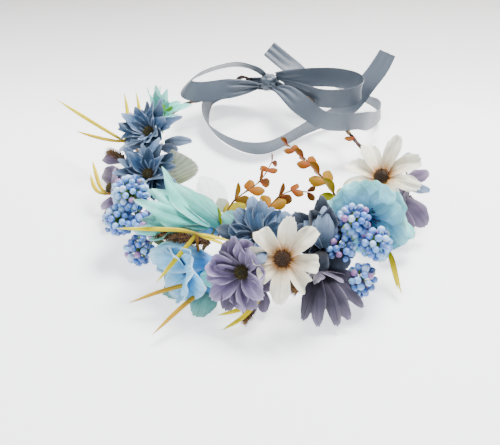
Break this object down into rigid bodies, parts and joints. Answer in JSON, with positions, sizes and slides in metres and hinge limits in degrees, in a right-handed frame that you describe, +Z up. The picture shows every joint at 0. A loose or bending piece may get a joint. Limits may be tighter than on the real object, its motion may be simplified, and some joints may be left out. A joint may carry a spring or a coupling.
{
  "type": "flower crown",
  "caption": "Head wreath: a bent wire ring dressed on its front half with cloth flowers, foam berries, leaves and grass, closed behind by a ribbon tied in a bow.",
  "frame": {"origin": "centre of the ring's head opening, on the surface that the crown lies on", "axes": "+Z up out of the opening, towards the top of the wearer's head; +Y towards the bow at the back; +X towards the wearer's left when worn with the bow behind"},
  "size_m": [0.2552, 0.2511, 0.0644],
  "materials": {
    "bark_wire": "paper-covered steel wire with a rough bark-like skin",
    "floral_tape": "crinkled waxed paper tape",
    "berry_skin": "foam berries with a fine frosting",
    "bristles": "short stiff plastic bristles",
    "ribbon_satin": "satin weave with a soft sheen",
    "straw": "moulded grass blades, slightly waxy",
    "eucalyptus": "moulded leaves shaded from yellow-green to red",
    "leaf_green": "moulded leaf",
    "leaf_cloth": "printed cloth leaf",
    "heart_brown": "flocked flower centre",
    "heart_navy": "bundle of dark stamens",
    "heart_olive": "flocked flower centre",
    "dusty_cloth": "dyed cloth petals",
    "lavender_cloth": "dyed cloth petals",
    "slate_cloth": "dyed cloth petals",
    "white_cloth": "cream cloth petals, amber at the foot",
    "mint_cloth": "thin see-through cloth petals",
    "sky_cloth": "thin cloth petals",
    "mauve_cloth": "dyed cloth petals"
  },
  "bodies": {
    "root": {"base_wire": "bark_wire", "berries_left_inner": "berry_skin", "berries_left_low": "berry_skin", "berries_left_outer": "berry_skin", "berries_left_top": "berry_skin", "berries_right_inner": "berry_skin", "berries_right_low": "berry_skin", "berries_right_outer": "berry_skin", "berries_right_top": "berry_skin", "bristle_pod_left": "bristles", "bristle_spike_front": "bristles", "bristle_tuft_back_left": "bristles", "dusty_daisy_back_left": "dusty_cloth", "dusty_daisy_back_left_centre": "heart_olive", "dusty_daisy_front": "dusty_cloth", "dusty_daisy_front_centre": "heart_olive", "dusty_daisy_front_right": "dusty_cloth", "dusty_daisy_front_right_centre": "heart_olive", "dusty_daisy_left": "dusty_cloth", "dusty_daisy_left_centre": "heart_olive", "eucalyptus_left": "eucalyptus", "eucalyptus_middle": "eucalyptus", "eucalyptus_right": "eucalyptus", "floral_tape": "floral_tape", "grass_back_left": "straw", "grass_front": "straw", "grass_front_left": "straw", "grass_front_stub": "straw", "grass_left": "straw", "grass_right": "straw", "green_sprig_back_left": "leaf_green", "lavender_daisy_front": "lavender_cloth", "lavender_daisy_front_centre": "heart_olive", "mauve_daisy_left": "mauve_cloth", "mauve_daisy_left_centre": "heart_olive", "mauve_daisy_right": "mauve_cloth", "mauve_daisy_right_centre": "heart_olive", "mint_bud_back_left": "mint_cloth", "mint_bud_back_left_centre": "heart_olive", "mint_lily_left": "mint_cloth", "mint_lily_left_centre": "heart_olive", "ribbon_knot": "ribbon_satin", "ribbon_left_loop": "ribbon_satin", "ribbon_left_sling": "ribbon_satin", "ribbon_left_tail": "ribbon_satin", "ribbon_right_loop": "ribbon_satin", "ribbon_right_sling": "ribbon_satin", "ribbon_right_tail": "ribbon_satin", "serrated_leaf": "leaf_cloth", "sky_blossom_front_left": "sky_cloth", "sky_blossom_front_left_centre": "heart_olive", "sky_poppy_right": "sky_cloth", "sky_poppy_right_centre": "heart_navy", "slate_daisy_front": "slate_cloth", "slate_daisy_front_centre": "heart_olive", "white_daisy_front": "white_cloth", "white_daisy_front_centre": "heart_brown", "white_daisy_right": "white_cloth", "white_daisy_right_centre": "heart_brown", "wire_leaf": "eucalyptus"}
  },
  "joints": []
}
